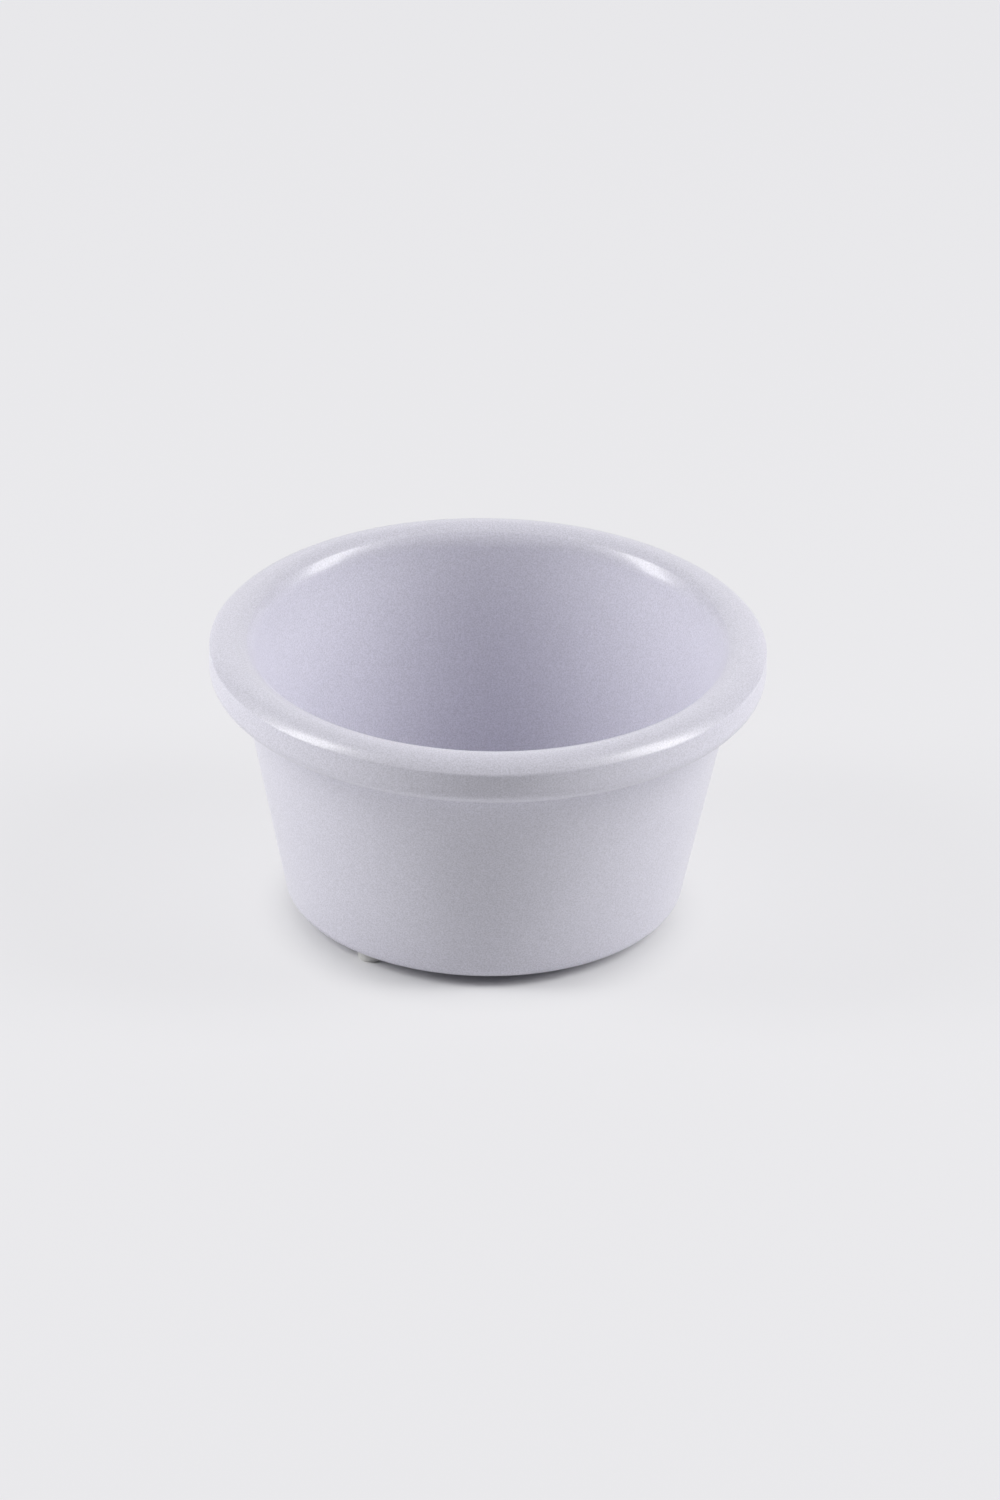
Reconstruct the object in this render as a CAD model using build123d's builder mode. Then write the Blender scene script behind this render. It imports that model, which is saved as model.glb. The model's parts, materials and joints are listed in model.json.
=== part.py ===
from build123d import *
import os
from math import cos, radians, sin, tan

# Small round ramekin, moulded in one wall, standing on three low feet.
# Millimetres, +Z up. The origin is on the ground under the centre of the cup.

# Cup
rim_diameter = 76.0
cup_height = 38.67  # from the underside of the cup to the top of its rim
wall_slope = 11.57  # degrees from upright, the same inside and outside
wall_thickness = 2.47
floor_thickness = 2.6
floor_round_radius = 4.5
base_corner_radius = 1.73

# Rim, from the wall outside, over the top, to the wall inside
rim_depth = 6.6
rim_edge_radius = 2.25
shoulder_radius = 0.46
shoulder_turn = 37.7  # degrees turned by the tight shoulder before the wide crown takes over
crown_radius = 4.0
lip_radius = 2.58
lip_turn = 45.5  # degrees turned by the lip before the larger arc that runs into the wall takes over
lip_blend_radius = 3.7

# Feet
foot_names = ("foot_front_left", "foot_right", "foot_back")
first_foot_angle = 231.5  # degrees from +X, anticlockwise from above; the front is -Y
foot_diameter = 3.9
foot_height = 1.2
foot_draft = 6.0  # degrees
foot_edge_chamfer = 0.2
foot_overhang = 0.55  # how far a foot reaches past the flat underside, below the rounded corner

# Heights in the section
underside_z = foot_height
rim_top_z = underside_z + cup_height
rim_under_z = rim_top_z - rim_depth
floor_z = underside_z + floor_thickness

# The angle between the wall and the level faces at its two ends
wall_turn = 90.0 - wall_slope


def wall_radius_at(z, known_radius, known_z):
    """Radius at height z of a wall face that has known_radius at known_z."""
    return known_radius + (z - known_z) * tan(radians(wall_slope))


def corner_setback(round_radius):
    """How far from a corner with the wall a round of this radius starts."""
    return round_radius * tan(radians(wall_turn / 2))


# The shoulder and the crown turn from the upright band to the crest
roll_width = shoulder_radius * (1 - cos(radians(shoulder_turn))) + crown_radius * cos(radians(shoulder_turn))
roll_height = shoulder_radius * sin(radians(shoulder_turn)) + crown_radius * (1 - sin(radians(shoulder_turn)))

# The lip and its blend turn from the crest to the slope of the wall inside
lip_width = lip_radius * sin(radians(lip_turn)) + lip_blend_radius * (
    sin(radians(wall_turn)) - sin(radians(lip_turn))
)
lip_drop = lip_radius * (1 - cos(radians(lip_turn))) + lip_blend_radius * (
    cos(radians(lip_turn)) - cos(radians(wall_turn))
)

# Radii in the section, from the rim inwards
rim_radius = rim_diameter / 2
crest_radius = rim_radius - roll_width
lip_end_radius = crest_radius - lip_width
lip_end_z = rim_top_z - lip_drop
wall_width = wall_thickness / cos(radians(wall_slope))
inner_floor_radius = wall_radius_at(floor_z, lip_end_radius, lip_end_z)
neck_radius = wall_radius_at(rim_under_z, lip_end_radius + wall_width, lip_end_z)
base_radius = wall_radius_at(underside_z, lip_end_radius + wall_width, lip_end_z)
underside_flat_radius = base_radius - corner_setback(base_corner_radius)

# The wall's own direction in the section, upwards
wall_direction = Vector(sin(radians(wall_slope)), cos(radians(wall_slope)))
inner_floor_corner = Vector(inner_floor_radius, floor_z)

# Feet stand on a circle near the edge of the flat underside
foot_circle_radius = underside_flat_radius + foot_overhang - foot_diameter / 2
foot_step_angle = 360.0 / len(foot_names)
foot_side_height = foot_height - foot_edge_chamfer
foot_sole_radius = foot_diameter / 2 - foot_side_height * tan(radians(foot_draft)) - foot_edge_chamfer


os.makedirs("parts", exist_ok=True)

# Cup: one turned section for floor, wall and rim
with BuildPart() as cup:
    with BuildSketch(Plane.XZ):
        with BuildLine():
            underside = Line((0, underside_z), (underside_flat_radius, underside_z))
            base_corner = JernArc(underside @ 1, (1, 0), base_corner_radius, wall_turn)
            wall = Line(base_corner @ 1, (neck_radius, rim_under_z))
            rim_under = Line(wall @ 1, (rim_radius - rim_edge_radius, rim_under_z))
            rim_edge = JernArc(rim_under @ 1, (1, 0), rim_edge_radius, 90)
            rim_band = Line(rim_edge @ 1, (rim_radius, rim_top_z - roll_height))
            shoulder = JernArc(rim_band @ 1, (0, 1), shoulder_radius, shoulder_turn)
            crown = JernArc(shoulder @ 1, shoulder % 1, crown_radius, 90 - shoulder_turn)
            lip = JernArc(crown @ 1, (-1, 0), lip_radius, lip_turn)
            lip_blend = JernArc(lip @ 1, lip % 1, lip_blend_radius, wall_turn - lip_turn)
            inner_wall_end = inner_floor_corner + wall_direction * corner_setback(floor_round_radius)
            inner_wall = Line(lip_blend @ 1, inner_wall_end)
            floor_round = JernArc(inner_wall @ 1, inner_wall % 1, floor_round_radius, -wall_turn)
            floor = Line(floor_round @ 1, (0, floor_z))
            Line(floor @ 1, underside @ 0)
        make_face()
    revolve(axis=Axis.Z)

cup.part.label = "cup"
export_step(cup.part, "parts/cup.step")

# Feet: low round pads under the base, each turned about its own axis, one node each
for index, foot_name in enumerate(foot_names):
    foot_angle = radians(first_foot_angle + index * foot_step_angle)
    foot_x = foot_circle_radius * cos(foot_angle)
    foot_y = foot_circle_radius * sin(foot_angle)
    foot_section = Plane(origin=(foot_x, foot_y, 0), x_dir=(1, 0, 0), z_dir=(0, -1, 0))
    with BuildPart() as foot:
        with BuildSketch(foot_section):
            with BuildLine():
                sole = Line((0, 0), (foot_sole_radius, 0))
                sole_edge = Line(sole @ 1, (foot_sole_radius + foot_edge_chamfer, foot_edge_chamfer))
                side = Line(sole_edge @ 1, (foot_diameter / 2, foot_height))
                seat = Line(side @ 1, (0, foot_height))
                Line(seat @ 1, sole @ 0)
            make_face()
        revolve(axis=Axis((foot_x, foot_y, 0), (0, 0, 1)))
    foot.part.label = foot_name
    export_step(foot.part, f"parts/{foot_name}.step")
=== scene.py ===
import json
import math

import bpy
from mathutils import Matrix, Quaternion, Vector

# Looks of the small ramekin: glossy moulded melamine on a pale ground.
# Metres, +Z up, the front of the cup towards -Y.

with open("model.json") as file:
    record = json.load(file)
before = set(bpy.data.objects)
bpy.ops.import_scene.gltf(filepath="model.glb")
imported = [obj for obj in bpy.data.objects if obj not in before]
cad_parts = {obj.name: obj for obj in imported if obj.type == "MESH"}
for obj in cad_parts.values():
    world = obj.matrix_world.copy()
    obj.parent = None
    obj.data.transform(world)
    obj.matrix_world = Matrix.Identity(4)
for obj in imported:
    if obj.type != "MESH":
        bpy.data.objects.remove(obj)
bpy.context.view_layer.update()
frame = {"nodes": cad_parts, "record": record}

# The photograph's frame, in pixels, and where the camera's target falls in it
IMAGE_WIDTH = 1000
IMAGE_HEIGHT = 1500
TARGET_X = 486.0
TARGET_Y = 762.6
PIXELS_PER_METRE = 7300.0

# The camera, as fitted to the outline of the cup
CAMERA_ELEVATION = math.radians(27.75)
CAMERA_ROLL = math.radians(1.05)
CAMERA_DISTANCE = 1.458
TARGET_HEIGHT = 0.0202
SENSOR_WIDTH = 36.0  # millimetres
CLIP_START = 0.01

# Colours, linear
MELAMINE = (0.767, 0.756, 0.846)
FOOT_WHITE = (0.68, 0.68, 0.66)
GROUND_WHITE = (0.796, 0.796, 0.806)
BACKGROUND_WHITE = (0.84, 0.836, 0.858)
CLOTH_BLACK = (0.02, 0.02, 0.02)

# The stretch of a noise value, out of 0 to 1, that a pattern's range is laid over
NOISE_LOW = 0.3
NOISE_HIGH = 0.7

# Patterns in the finishes: noise scale per metre, noise detail, lowest and highest value.
# GLOSS patterns give a roughness, the others a factor on the colour.
MELAMINE_GRAIN = (5000.0, 1.0, 0.88, 1.12)
MELAMINE_MOTTLE = (130.0, 2.0, 0.994, 1.006)
MELAMINE_GLOSS = (220.0, 2.0, 0.337, 0.347)
FOOT_GRAIN = (1900.0, 3.0, 0.96, 1.04)
FOOT_GLOSS = (1300.0, 2.0, 0.38, 0.5)
CLOTH_WEAVE = (60.0, 2.0, 0.9, 1.1)

# The melamine's unevenness: noise scale per metre, noise detail, and its height in metres
UNEVENNESS = (260.0, 2.0)
UNEVENNESS_HEIGHT = 0.000002

MELAMINE_IOR = 1.57
MELAMINE_COAT_WEIGHT = 0.18
MELAMINE_COAT_ROUGHNESS = 0.107
FOOT_IOR = 1.48
GROUND_ROUGHNESS = 0.9
CLOTH_ROUGHNESS = 1.0

# The ground, and how it turns from a real surface into the even background
GROUND_SIZE = 6.0
CONTACT_CENTRE = (-0.0004, -0.004, 0.0)
CONTACT_RADIUS = 0.0206  # inside this circle the ground shows nothing but real light and shadow
OPEN_RADIUS = 0.0316  # outside this one it is nearly the even background
OPEN_SHARE = 0.86

# Softboxes, all at one distance and facing the cup: azimuth from the front round to the right, elevation,
# lean of the upper end towards the front, height and breadth as seen from the cup, all in degrees; radiance
LAMP_DISTANCE = 0.9
SOFTBOXES = {
    "left_strip": (-85.9, 30.8, 0.6, 48.1, 16.3, 10.2),
    "right_strip": (87.6, 34.0, 1.2, 48.7, 17.8, 8.99),
    "right_fill": (73.4, 48.2, 0.0, 27.2, 17.7, 1.24),
}

# The room round the set is dark, with an opening at the back through which the pale backdrop lights the cup
BACKDROP_STRENGTH = 0.9
ROOM_RADIUS = 2.4
ROOM_HEIGHT = 2.4
OPENING_SPAN = 80.0  # degrees
ROOM_STEP = 10.0  # degrees spanned by one panel of the wall


def link(piece):
    bpy.context.scene.collection.objects.link(piece)
    return piece


def new_material(name):
    """A material with a Principled shader, its node tree and that shader."""
    material = bpy.data.materials.new(name)
    material.use_nodes = True
    tree = material.node_tree
    return material, tree, tree.nodes["Principled BSDF"]


def make_matt(shader, roughness):
    """Takes the gloss off a shader."""
    shader.inputs["Roughness"].default_value = roughness
    shader.inputs["Specular IOR Level"].default_value = 0.0


def noise(tree, scale, detail):
    """Solid noise in the piece's own metres. Returns its value socket."""
    place = tree.nodes.new("ShaderNodeTexCoord")
    texture = tree.nodes.new("ShaderNodeTexNoise")
    texture.inputs["Scale"].default_value = scale
    texture.inputs["Detail"].default_value = detail
    tree.links.new(place.outputs["Object"], texture.inputs["Vector"])
    return texture.outputs["Fac"]


def pattern(tree, scale, detail, low, high):
    """Noise laid over the range from low to high."""
    mapping = tree.nodes.new("ShaderNodeMapRange")
    mapping.inputs["From Min"].default_value = NOISE_LOW
    mapping.inputs["From Max"].default_value = NOISE_HIGH
    mapping.inputs["To Min"].default_value = low
    mapping.inputs["To Max"].default_value = high
    tree.links.new(noise(tree, scale, detail), mapping.inputs["Value"])
    return mapping.outputs["Result"]


def brightened(tree, colour, factor):
    """A colour multiplied by a factor that varies over the surface."""
    scaling = tree.nodes.new("ShaderNodeVectorMath")
    scaling.operation = "SCALE"
    scaling.inputs[0].default_value = colour
    tree.links.new(factor, scaling.inputs["Scale"])
    return scaling.outputs["Vector"]


def combined(tree, operation, first, second):
    """Two values joined by a Math node."""
    node = tree.nodes.new("ShaderNodeMath")
    node.operation = operation
    tree.links.new(first, node.inputs[0])
    tree.links.new(second, node.inputs[1])
    return node.outputs["Value"]


def background_rays(tree):
    """One for the rays that show the pale background: seen directly, mirrored or through a clear piece."""
    path = tree.nodes.new("ShaderNodeLightPath")
    either = path.outputs["Is Camera Ray"]
    for kind in ("Is Glossy Ray", "Is Transmission Ray"):
        either = combined(tree, "MAXIMUM", either, path.outputs[kind])
    return either


def bump(tree, height, distance):
    node = tree.nodes.new("ShaderNodeBump")
    node.inputs["Distance"].default_value = distance
    tree.links.new(height, node.inputs["Height"])
    return node.outputs["Normal"]


def make_melamine():
    """Lavender-white melamine: glossy under a thin clear skin, with a fine grain in its colour."""
    material, tree, shader = new_material("melamine")
    grain = pattern(tree, *MELAMINE_GRAIN)
    mottle = pattern(tree, *MELAMINE_MOTTLE)
    colour = brightened(tree, MELAMINE, combined(tree, "MULTIPLY", grain, mottle))
    tree.links.new(colour, shader.inputs["Base Color"])
    tree.links.new(pattern(tree, *MELAMINE_GLOSS), shader.inputs["Roughness"])
    unevenness = bump(tree, noise(tree, *UNEVENNESS), UNEVENNESS_HEIGHT)
    tree.links.new(unevenness, shader.inputs["Normal"])
    shader.inputs["IOR"].default_value = MELAMINE_IOR
    shader.inputs["Coat Weight"].default_value = MELAMINE_COAT_WEIGHT
    shader.inputs["Coat Roughness"].default_value = MELAMINE_COAT_ROUGHNESS
    return material


def make_foot_white():
    """Neutral off-white, satin."""
    material, tree, shader = new_material("foot_white")
    colour = brightened(tree, FOOT_WHITE, pattern(tree, *FOOT_GRAIN))
    tree.links.new(colour, shader.inputs["Base Color"])
    tree.links.new(pattern(tree, *FOOT_GLOSS), shader.inputs["Roughness"])
    shader.inputs["IOR"].default_value = FOOT_IOR
    return material


def make_ground_white():
    """Matt white that keeps the cup's shadow near it and turns into the even background further out."""
    material, tree, shader = new_material("ground_white")
    nodes, links = tree.nodes, tree.links
    shader.inputs["Base Color"].default_value = (*GROUND_WHITE, 1.0)
    make_matt(shader, GROUND_ROUGHNESS)
    place = nodes.new("ShaderNodeTexCoord")
    distance = nodes.new("ShaderNodeVectorMath")
    distance.operation = "DISTANCE"
    distance.inputs[1].default_value = CONTACT_CENTRE
    links.new(place.outputs["Object"], distance.inputs[0])
    openness = nodes.new("ShaderNodeMapRange")
    openness.interpolation_type = "SMOOTHSTEP"
    openness.inputs["From Min"].default_value = CONTACT_RADIUS
    openness.inputs["From Max"].default_value = OPEN_RADIUS
    openness.inputs["To Min"].default_value = 0.0
    openness.inputs["To Max"].default_value = OPEN_SHARE
    links.new(distance.outputs["Value"], openness.inputs["Value"])
    share = combined(tree, "MULTIPLY", openness.outputs["Result"], background_rays(tree))
    even = nodes.new("ShaderNodeEmission")
    even.inputs["Color"].default_value = (*BACKGROUND_WHITE, 1.0)
    mix = nodes.new("ShaderNodeMixShader")
    links.new(share, mix.inputs["Fac"])
    links.new(shader.outputs["BSDF"], mix.inputs[1])
    links.new(even.outputs["Emission"], mix.inputs[2])
    links.new(mix.outputs["Shader"], nodes["Material Output"].inputs["Surface"])
    return material


def make_cloth_black():
    """Matt black cloth."""
    material, tree, shader = new_material("black_cloth")
    colour = brightened(tree, CLOTH_BLACK, pattern(tree, *CLOTH_WEAVE))
    tree.links.new(colour, shader.inputs["Base Color"])
    make_matt(shader, CLOTH_ROUGHNESS)
    return material


def make_mesh(name, points, faces, material):
    mesh = bpy.data.meshes.new(name)
    mesh.from_pydata(points, [], faces)
    mesh.materials.append(material)
    return mesh


def make_ground():
    half = GROUND_SIZE / 2
    corners = [(-half, -half, 0), (half, -half, 0), (half, half, 0), (-half, half, 0)]
    mesh = make_mesh("ground", corners, [(0, 1, 2, 3)], make_ground_white())
    link(bpy.data.objects.new("ground", mesh))


def make_world():
    """The pale backdrop, the same for every ray that reaches it."""
    world = bpy.data.worlds.new("backdrop")
    bpy.context.scene.world = world
    world.use_nodes = True
    background = world.node_tree.nodes["Background"]
    background.inputs["Color"].default_value = (*BACKGROUND_WHITE, 1.0)
    background.inputs["Strength"].default_value = BACKDROP_STRENGTH


def make_dark_room():
    """Black cloth round the set and over it, open at the back.

    It shades the cup from the backdrop and shows in its gloss. Only the camera doesn't see it, so it hides no view.
    """
    edge = 180.0 - OPENING_SPAN / 2
    count = round(2 * edge / ROOM_STEP) + 1
    turns = [math.radians(-edge + 2 * edge * index / (count - 1)) for index in range(count)]
    ring = [(ROOM_RADIUS * math.sin(turn), -ROOM_RADIUS * math.cos(turn)) for turn in turns]
    behind = (0.0, ROOM_RADIUS, ROOM_HEIGHT)
    points = [(x, y, 0.0) for x, y in ring] + [(x, y, ROOM_HEIGHT) for x, y in ring] + [behind]
    walls = [(index, index + 1, count + index + 1, count + index) for index in range(count - 1)]
    ceiling = tuple(range(count, 2 * count + 1))
    mesh = make_mesh("dark_room", points, [*walls, ceiling], make_cloth_black())
    room = link(bpy.data.objects.new("dark_room", mesh))
    room.visible_camera = False


def lamp_side(span):
    """The length that spans this many degrees, as seen from the cup."""
    return 2 * LAMP_DISTANCE * math.tan(math.radians(span / 2))


def make_softbox(name, azimuth, elevation, lean, height, breadth, radiance):
    """A rectangular lamp that faces the cup."""
    rise = math.radians(elevation)
    turn = math.radians(azimuth)
    away = Vector((math.cos(rise) * math.sin(turn), -math.cos(rise) * math.cos(turn), math.sin(rise)))
    lamp = bpy.data.lights.new(name, "AREA")
    lamp.shape = "RECTANGLE"
    lamp.size = lamp_side(breadth)
    lamp.size_y = lamp_side(height)
    lamp.energy = radiance * math.pi * lamp.size * lamp.size_y
    holder = link(bpy.data.objects.new(name, lamp))
    holder.location = away * LAMP_DISTANCE + Vector((0, 0, TARGET_HEIGHT))
    roll = Quaternion((0, 0, 1), math.copysign(math.radians(lean), azimuth))
    holder.rotation_euler = (away.to_track_quat("Z", "Y") @ roll).to_euler()


def make_camera():
    """A long lens, tilted down and slightly rolled, so that the target falls on its pixel."""
    forward = Vector((0, math.cos(CAMERA_ELEVATION), -math.sin(CAMERA_ELEVATION)))
    level_up = Vector((0, math.sin(CAMERA_ELEVATION), math.cos(CAMERA_ELEVATION)))
    level_right = Vector((1, 0, 0))
    right = math.cos(CAMERA_ROLL) * level_right + math.sin(CAMERA_ROLL) * level_up
    up = math.cos(CAMERA_ROLL) * level_up - math.sin(CAMERA_ROLL) * level_right
    target = Vector((0, 0, TARGET_HEIGHT))
    place = target - forward * CAMERA_DISTANCE
    aim = target + right * ((IMAGE_WIDTH / 2 - TARGET_X) / PIXELS_PER_METRE)
    aim += up * ((TARGET_Y - IMAGE_HEIGHT / 2) / PIXELS_PER_METRE)
    look = (aim - place).normalized()
    right = (right - look * right.dot(look)).normalized()
    up = right.cross(look)
    camera = bpy.data.cameras.new("camera")
    camera.sensor_width = SENSOR_WIDTH
    camera.lens = PIXELS_PER_METRE * CAMERA_DISTANCE / IMAGE_HEIGHT * SENSOR_WIDTH
    camera.clip_start = CLIP_START
    camera.clip_end = 4 * GROUND_SIZE
    holder = link(bpy.data.objects.new("camera", camera))
    turn = Matrix((right, up, -look)).transposed()
    holder.matrix_world = Matrix.Translation(place) @ turn.to_4x4()
    bpy.context.scene.camera = holder


finishes = {"cup_body": make_melamine(), "foot_pad": make_foot_white()}
for subpart in frame["record"]["subparts"]:
    finish = finishes[subpart["material_slot"]]
    for slot in frame["nodes"][subpart["node"]].material_slots:
        slot.material = finish

make_ground()
make_world()
make_dark_room()
for name, placing in SOFTBOXES.items():
    make_softbox(name, *placing)
make_camera()
bpy.context.scene.view_settings.view_transform = "Standard"
